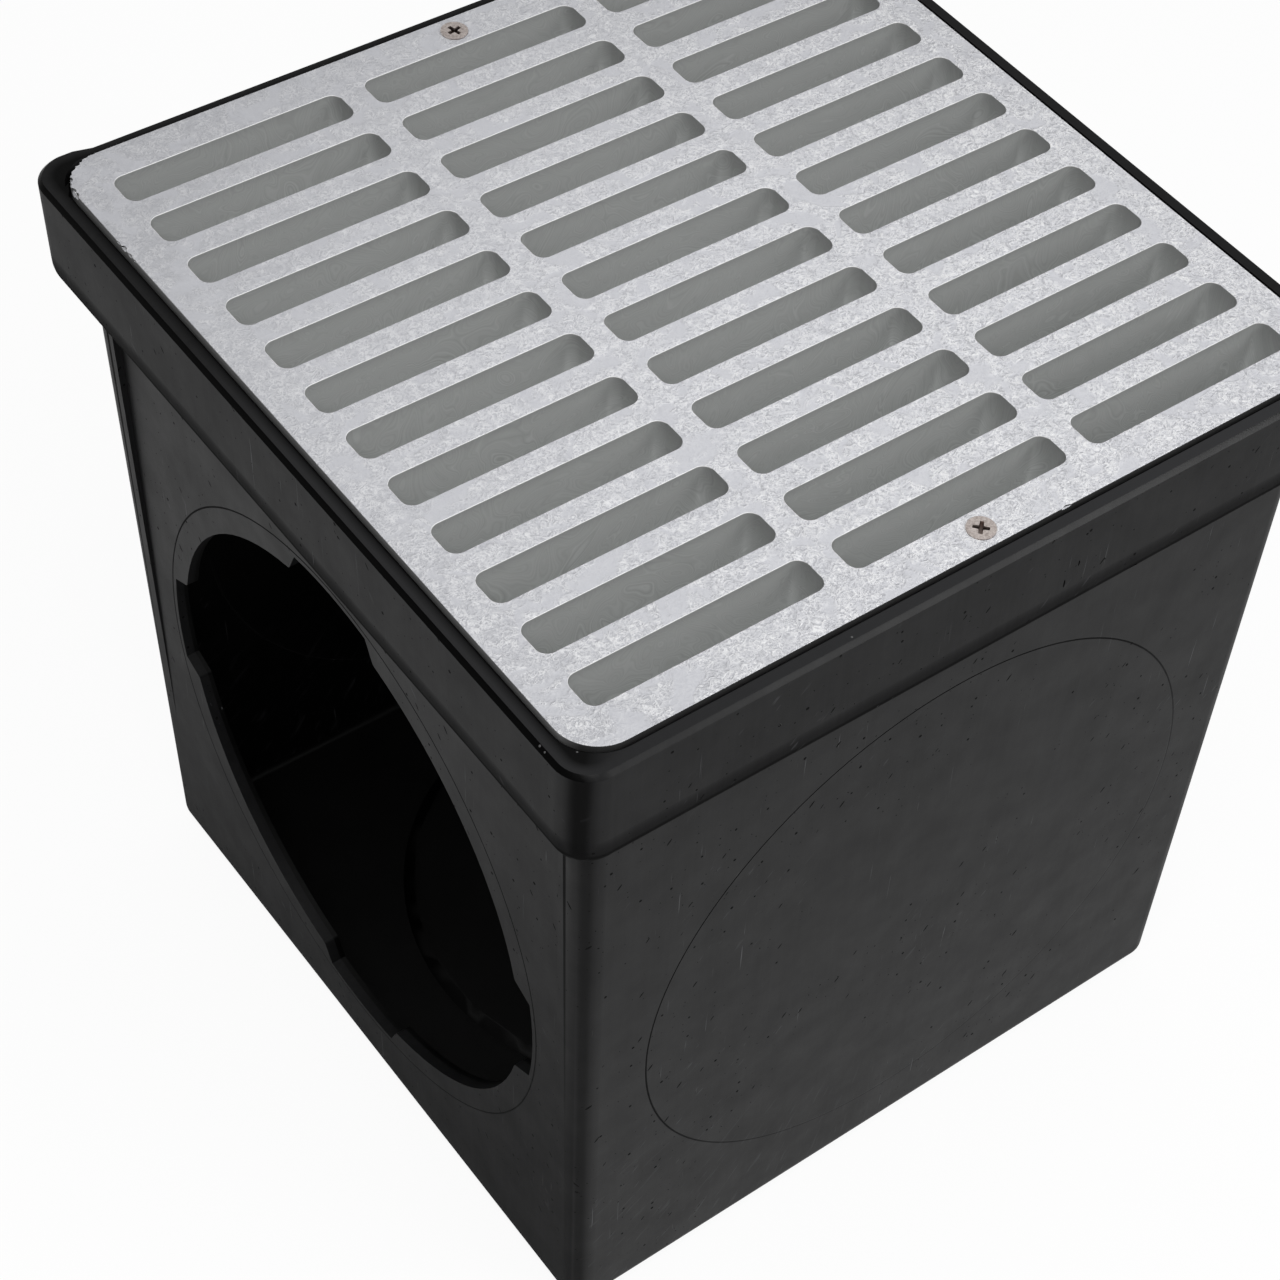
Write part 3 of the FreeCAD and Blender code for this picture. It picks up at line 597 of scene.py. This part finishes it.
def grate_plastic():
    """Light grey plastic: crumpled flow marks on top with painted highlights on their crests and a painted
    pool of light, combed walls in the slots, and painted light and shade on the walls and edges.
    """
    material, tree, shader = new_material("grate_grey_plastic")
    n = Nodes(tree)
    x, y, z = n.parts(n.place)
    nx, ny, nz = n.parts(n.normal)
    top = n.span(nz, 0.5, 0.85)
    outside = n.above(n.rounded_reach(x, y, GRATE_HALF, GRATE_CORNER), GRATE_HALF - SIDE_BAND)

    # Top: crumpled towards the front right, with smooth patches, and with painted light strongest right of
    # the middle
    broad = n.ridges(n.noise(330, 1.5, 0.5, 1.3), 6.0)
    tight = n.ridges(n.noise(800, 1.5, 0.6, 1.0), 6.0)
    crumple = n.plus(n.times(broad, 0.55), n.times(tight, 0.45))
    crests = n.most(n.fade(broad, 0.0, 0.34), n.span(tight, 0.0, 0.4, 0.8, 0.0))
    smooth = n.span(n.noise(75, 2, 0.5, 1.2), 0.54, 0.62)
    strength = n.span(n.minus(x, y), *CRUMPLE_SPAN, 0.4, 1.0)
    strength = n.times(strength, n.span(smooth, 0.0, 1.0, 1.0, 0.3))
    away = [n.minus(part, lightest) for part, lightest in zip((x, y), PAINTED_LIGHT_PLACE)]
    away = n.plus(n.times(away[0], away[0]), n.times(away[1], away[1]))
    marble = n.span(n.combed(10, 1.6, 26.0), 0.35, 0.65, 0.0, 0.3)
    flat = n.blend(n.fade(away, 0.0, PAINTED_LIGHT_FADE), *TOP_SHADES)
    flat = n.blend(n.times(marble, n.flipped(strength)), flat, MARBLED)
    flat = n.blend(n.times(n.span(crumple, 0.4, 1.0, 0.0, 0.6), strength), flat, CRUMPLED)
    # Painted highlights along the crumple's crests
    flat = n.blend(n.times(crests, strength, n.span(n.noise(190, 2), 0.36, 0.56, 0.3, 0.75)), flat, CREST_HIGHLIGHT)
    flat = n.blend(n.times(smooth, 0.35), flat, SMOOTHED)

    # Walls: paler towards the bottom, painted light where less light falls, with combed marks, painted shade
    # on the walls that face -X, and a darker outer side, painted shade that is darkest at the front
    depth = n.span(n.minus(GRATE_TOP, z), 0.0, WALL_LIT_DEPTH * GRATE_DEPTH)
    wall = n.blend(depth, *SLOT_WALL)
    wall = n.blend(n.span(n.combed(30, 1.2, 85.0), 0.35, 0.65, 0.0, 0.32), wall, WALL_MARK_AND_SHADE)
    # Painted shade on the walls that face -X
    wall = n.blend(n.span(nx, -0.9, -0.4, 0.3, 0.0), wall, WALL_MARK_AND_SHADE)
    # Painted shade on the outer side, darkest on the front side
    wall = n.blend(outside, wall, OUTER_SIDE_SHADE)
    wall = n.blend(n.times(outside, n.fade(ny, -0.6, -0.2)), wall, FRONT_SIDE_SHADE)

    # Painted highlight on the slots' top edges that face the front or the right
    edge = n.times(n.span(nz, 0.15, 0.4), n.fade(nz, 0.93, 0.99), n.flipped(outside))
    lit = n.times(edge, n.span(n.most(n.times(ny, -1.0), nx), 0.15, 0.4))
    n.link(n.blend(lit, n.blend(top, wall, flat), LIT_EDGE), shader.inputs["Base Color"])
    rough = n.span(crumple, 0.0, 1.0, *GRATE_ROUGH)
    n.link(n.minus(rough, n.times(edge, EDGE_SHINE)), shader.inputs["Roughness"])
    shader.inputs["Specular IOR Level"].default_value = GRATE_SPECULAR
    n.link(n.bump(n.times(n.flipped(crumple), strength, top), *CRUMPLE_BUMP), shader.inputs["Normal"])
    return material


def screw_steel():
    """Nickel-coloured steel, dull and darker down in the cross."""
    material, tree, shader = new_material("screw_nickel")
    n = Nodes(tree)
    z = n.parts(n.place)[2]
    worn = n.noise(1300, 4, 0.6, 0.5)
    colour = n.blend(n.span(worn, 0.35, 0.65), *NICKEL)
    deep, shallow = (SCREW_TOP - depth for depth in CROSS_DEPTHS)
    n.link(n.blend(n.span(z, deep, shallow, 0.85, 0.0), colour, CROSS_DARK), shader.inputs["Base Color"])
    shader.inputs["Metallic"].default_value = 1.0
    n.link(n.span(worn, 0.3, 0.7, *STEEL_ROUGH), shader.inputs["Roughness"])
    n.link(n.bump(worn, *WORN_BUMP), shader.inputs["Normal"])
    return material


# Pieces


def copy_of(node, name):
    """A copy of a CAD node as a piece, and its welded mesh."""
    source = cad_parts[node]
    mesh = source.data.copy()
    mesh.name = name
    piece = bpy.data.objects.new(name, mesh)
    bpy.context.scene.collection.objects.link(piece)
    bm = bmesh.new()
    bm.from_mesh(mesh)
    bmesh.ops.remove_doubles(bm, verts=bm.verts, dist=WELD)
    return piece, bm


def settle(piece, bm, node, material, sharp=SHARP):
    """Writes the mesh back, shades it, gives it its material, hangs it on the root body, and hides its CAD
    node.
    """
    bm.to_mesh(piece.data)
    bm.free()
    mesh = piece.data
    if "custom_normal" in mesh.attributes:
        mesh.attributes.remove(mesh.attributes["custom_normal"])
    mesh.polygons.foreach_set("use_smooth", [True] * len(mesh.polygons))
    mesh.set_sharp_from_angle(angle=math.radians(sharp))
    weighted = piece.modifiers.new("weighted", "WEIGHTED_NORMAL")
    weighted.keep_sharp = True
    mesh.materials.clear()
    mesh.materials.append(material)
    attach(piece, "root")
    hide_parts(node)


def between(value, low, high):
    """The value's place between low and high, kept within 0 and 1."""
    return min(max((value - low) / (high - low), 0.0), 1.0)


def rim_depth(place):
    """How far a point lies inside the rim's outline, and the outward direction there."""
    past_x = abs(place.x) - (RIM_HALF - RIM_CORNER)
    past_y = abs(place.y) - (RIM_HALF - RIM_CORNER)
    if past_x > 0 and past_y > 0:
        length = math.hypot(past_x, past_y)
        out = Vector((math.copysign(past_x / length, place.x), math.copysign(past_y / length, place.y), 0))
        return RIM_CORNER - length, out
    if past_x > past_y:
        return RIM_CORNER - past_x, Vector((math.copysign(1, place.x), 0, 0))
    return RIM_CORNER - past_y, Vector((0, math.copysign(1, place.y), 0))


def soften_rim(bm):
    """Draws the round of the rim's lower edge out into the long soft curve of the moulding."""
    for vert in bm.verts:
        rise = vert.co.z - RIM_LOW
        if -NEAR < rise < RIM_LOW_ROUND + NEAR:
            depth, out = rim_depth(vert.co)
            if depth < RIM_LOW_ROUND + NEAR:
                vert.co -= out * max(depth, 0.0) * (SOFT_DEPTH / RIM_LOW_ROUND - 1)
                vert.co.z = RIM_FOOT + rise * (SOFT_RISE / RIM_LOW_ROUND)
            elif rise < NEAR:
                vert.co.z = RIM_FOOT


def flatten_lip(bm):
    """Flattens the round of the rim's top edge almost to a chamfer, which catches the light as a band."""
    for vert in bm.verts:
        drop = BASIN_TOP - vert.co.z
        depth, out = rim_depth(vert.co)
        if 0 < drop < RIM_TOP_ROUND and -NEAR / 2 < depth < RIM_TOP_ROUND:
            bulge = (RIM_TOP_ROUND - drop - depth) / 2 * FLATTEN
            vert.co -= out * bulge
            vert.co.z -= bulge


def bow_rim(bm):
    """Bows the back of the rim a little in and down between its corners, and lowers its left side."""
    for end in (-BOW_START, -BOW_FULL, BOW_FULL, BOW_START):
        back = [v for v in bm.verts if v.co.y > CAVITY_HALF and v.co.z > RIM_LOW - BOW_BELOW]
        edges = dict.fromkeys(edge for vert in back for edge in vert.link_edges)
        faces = dict.fromkeys(face for vert in back for face in vert.link_faces)
        geometry = [*back, *edges, *faces]
        bmesh.ops.bisect_plane(bm, geom=geometry, dist=NEAR / 2, plane_co=(end, 0, 0), plane_no=(1, 0, 0))
    for vert in bm.verts:
        depth, out = rim_depth(vert.co)
        bow = between(abs(vert.co.x), BOW_START, BOW_FULL)
        if vert.co.z > RIM_LOW - BOW_BELOW and out.y > 0:
            vert.co.y -= BACK_IN * bow * out.y * (1 - between(depth, *BOW_DEPTHS))
        if vert.co.z > BASIN_TOP - LOWERED_HEIGHT and depth < LOWERED_DEPTH:
            along = between(vert.co.y, *LEFT_LOWERED)
            vert.co.z -= BACK_LOW * max(bow * out.y, -out.x * along, 0.0)


def lump(bm, place, size, stretch, rng):
    """An uneven small stone shape, used to cut a chip. Its place and size are in mm."""
    made = bmesh.ops.create_icosphere(bm, subdivisions=1, radius=size * MM)["verts"]
    for vert in made:
        vert.co *= rng.uniform(*UNEVEN)
        vert.co = Vector(vert.co[i] * stretch[i] for i in range(3)) + Vector(place) * MM


def carve(piece, lumps):
    """Cuts the lumps out of the piece, and returns its new mesh."""
    rng = random.Random(SEED)
    bm = bmesh.new()
    for place, size, stretch in lumps:
        lump(bm, place, size, stretch, rng)
    mesh = bpy.data.meshes.new("chips")
    bm.to_mesh(mesh)
    bm.free()
    cutter = bpy.data.objects.new("chips", mesh)
    bpy.context.scene.collection.objects.link(cutter)
    cut = piece.modifiers.new("chips", "BOOLEAN")
    cut.operation = "DIFFERENCE"
    cut.solver = "EXACT"
    cut.use_self = True
    cut.object = cutter
    shaped = bpy.data.meshes.new_from_object(piece.evaluated_get(bpy.context.evaluated_depsgraph_get()))
    piece.modifiers.clear()
    piece.data = shaped
    bpy.data.objects.remove(cutter)
    bm = bmesh.new()
    bm.from_mesh(shaped)
    return bm


def make_basin():
    piece, bm = copy_of("basin", "basin_moulding")
    soften_rim(bm)
    flatten_lip(bm)
    bow_rim(bm)
    bm.to_mesh(piece.data)
    bm.free()
    bm = carve(piece, RIM_CHIPS)
    settle(piece, bm, "basin", basin_plastic())


def round_top_edges(bm):
    """A fine round on every edge round the grate's top face."""
    rims = [
        edge for edge in bm.edges
        if all(abs(v.co.z - GRATE_TOP) < NEAR / 2 for v in edge.verts)
        and any(abs(face.normal.z) < LEVEL_NORMAL for face in edge.link_faces)
    ]
    bmesh.ops.bevel(
        bm, geom=rims, offset=EDGE_ROUND, offset_type="OFFSET", segments=2, profile=0.5, affect="EDGES",
    )


def grate_chips():
    """The ragged far-left corner and left edge of the grate, and a chip in its front edge."""
    rng = random.Random(SEED)
    chips = []
    half, top = GRATE_HALF / MM, GRATE_TOP / MM
    bend = half - GRATE_CORNER / MM
    reach = GRATE_CORNER / MM + CORNER_OUT
    for step in range(CORNER_CHIPS):
        turn = math.radians(CORNER_START + CORNER_STEP * step + rng.uniform(-CORNER_JITTER, CORNER_JITTER))
        place = (-bend + reach * math.cos(turn), bend + reach * math.sin(turn), top - CORNER_DOWN)
        chips.append((place, rng.uniform(*CORNER_RADII), CORNER_STRETCH))
    for along, radius in LEFT_CHIPS:
        chips.append(((-half - LEFT_OUT, along, top - LEFT_DOWN), radius, LEFT_STRETCH))
    along, radius = FRONT_CHIP
    chips.append(((along, -half - FRONT_OUT, top), radius, FRONT_STRETCH))
    return chips


def make_grate():
    piece, bm = copy_of("grate", "grate_moulding")
    bmesh.ops.dissolve_limit(bm, angle_limit=SAME_PLANE, verts=bm.verts, edges=bm.edges)
    round_top_edges(bm)
    bmesh.ops.triangulate(bm, faces=bm.faces)
    bm.to_mesh(piece.data)
    bm.free()
    bm = carve(piece, grate_chips())
    settle(piece, bm, "grate", grate_plastic(), GRATE_SHARP)


def make_screws():
    """The screws, each turned about its own axis to where it was driven, with the cross's arms drawn out."""
    piece, bm = copy_of("grate_screws", "screw_pair")
    for side, turn in CROSS_TURNS.items():
        axis = Vector((0, side * SCREW_Y, 0))
        verts = [v for v in bm.verts if v.co.y * side > 0]
        bmesh.ops.rotate(bm, verts=verts, cent=axis, matrix=Matrix.Rotation(turn, 3, "Z"))
        for vert in verts:
            away = Vector((vert.co.x, vert.co.y - axis.y))
            if away.length < RECESS_REACH and vert.co.z > SCREW_TOP - RECESS_FLOOR:
                vert.co.x *= RECESS_STRETCH
                vert.co.y = axis.y + away.y * RECESS_STRETCH
    settle(piece, bm, "grate_screws", screw_steel())


# Stage

FLOOR_SIZE = 40
FLOOR_LOW = 0.2 * MM
FLOOR_GREY = 0.9
FLOOR_WHITE = 0.92
FOOT_HALF = 140 * MM
SHADE_REACH = 0.4
SHADE_DEPTH = 0.65
WORLD_STRENGTH = 0.45
LIT_PLACE = (0, 0, 0.2)

# Softboxes: place, side and watts
LAMPS = {
    "key": ((0.75, -1.4, 1.1), 0.9, 11),
    "fill": ((-0.45, -0.55, 1.4), 0.8, 9),
    "top": ((0.1, 0.3, 2.0), 1.5, 5),
}


def make_floor():
    """A pale floor that camera, gloss and clear rays see as nearly white, so that only a faint shadow shows.

    Gloss sees a painted shadow on it to the left and behind, where the basin keeps the key light off it.
    """
    bpy.ops.mesh.primitive_plane_add(size=FLOOR_SIZE, location=(0, 0, -FLOOR_LOW))
    floor = bpy.context.object
    floor.name = "floor"
    material, tree, shader = new_material("floor_pale")
    n = Nodes(tree)
    shader.inputs["Base Color"].default_value = grey(FLOOR_GREY)
    shader.inputs["Roughness"].default_value = 1.0
    shader.inputs["Specular IOR Level"].default_value = 0.0
    rays = n.add("ShaderNodeLightPath").outputs
    seen = n.most(rays["Is Camera Ray"], rays["Is Glossy Ray"], rays["Is Transmission Ray"])
    x, y = n.parts(n.place)[:2]
    beyond = n.minus(n.most(n.times(x, -1.0), y), FOOT_HALF)
    shaded = n.times(n.span(beyond, 0.0, SHADE_REACH, SHADE_DEPTH, 0.0), n.above(beyond, 0.0))
    lit = n.flipped(n.times(shaded, rays["Is Glossy Ray"]))
    mix = n.add("ShaderNodeMixShader")
    n.link(n.times(seen, lit, FLOOR_WHITE), mix.inputs[0])
    n.link(shader.outputs[0], mix.inputs[1])
    n.link(n.add("ShaderNodeEmission").outputs[0], mix.inputs[2])
    out = next(node for node in tree.nodes if node.type == "OUTPUT_MATERIAL")
    n.link(mix.outputs[0], out.inputs["Surface"])
    floor.data.materials.append(material)
    floor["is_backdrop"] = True


def make_world():
    world = bpy.data.worlds.new("studio")
    bpy.context.scene.world = world
    world.use_nodes = True
    sky = next(n for n in world.node_tree.nodes if n.type == "BACKGROUND")
    sky.inputs["Color"].default_value = grey(1.0)
    sky.inputs["Strength"].default_value = WORLD_STRENGTH


def make_lights():
    for name, (place, side, power) in LAMPS.items():
        data = bpy.data.lights.new(name, "AREA")
        data.shape = "RECTANGLE"
        data.size = data.size_y = side
        data.energy = power
        lamp = bpy.data.objects.new(name, data)
        bpy.context.scene.collection.objects.link(lamp)
        lamp.location = place
        lamp.rotation_euler = (Vector(LIT_PLACE) - Vector(place)).to_track_quat("-Z", "Y").to_euler()
        lamp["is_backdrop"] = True


def make_camera():
    data = bpy.data.cameras.new("photo_camera")
    camera = bpy.data.objects.new("photo_camera", data)
    bpy.context.scene.collection.objects.link(camera)
    turn = Matrix((CAMERA_RIGHT, CAMERA_UP, CAMERA_BACK)).transposed().to_4x4()
    camera.matrix_world = Matrix.Translation(CAMERA_PLACE) @ turn
    data.sensor_width = SENSOR_WIDTH
    data.sensor_fit = "HORIZONTAL"
    data.lens = CAMERA_LENS
    data.shift_x, data.shift_y = CAMERA_SHIFT
    data.clip_start, data.clip_end = CLIPS
    bpy.context.scene.camera = camera


def plain(bounds):
    """The bounds as nested lists of numbers."""
    if hasattr(bounds, "__len__"):
        return [plain(part) for part in bounds]
    return float(bounds)


make_camera()
make_world()
make_floor()
make_lights()
make_basin()
make_grate()
make_screws()
bpy.context.scene.view_settings.view_transform = "Standard"
{"cad": plain(START_BOUNDS), "dressed": plain(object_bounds())}
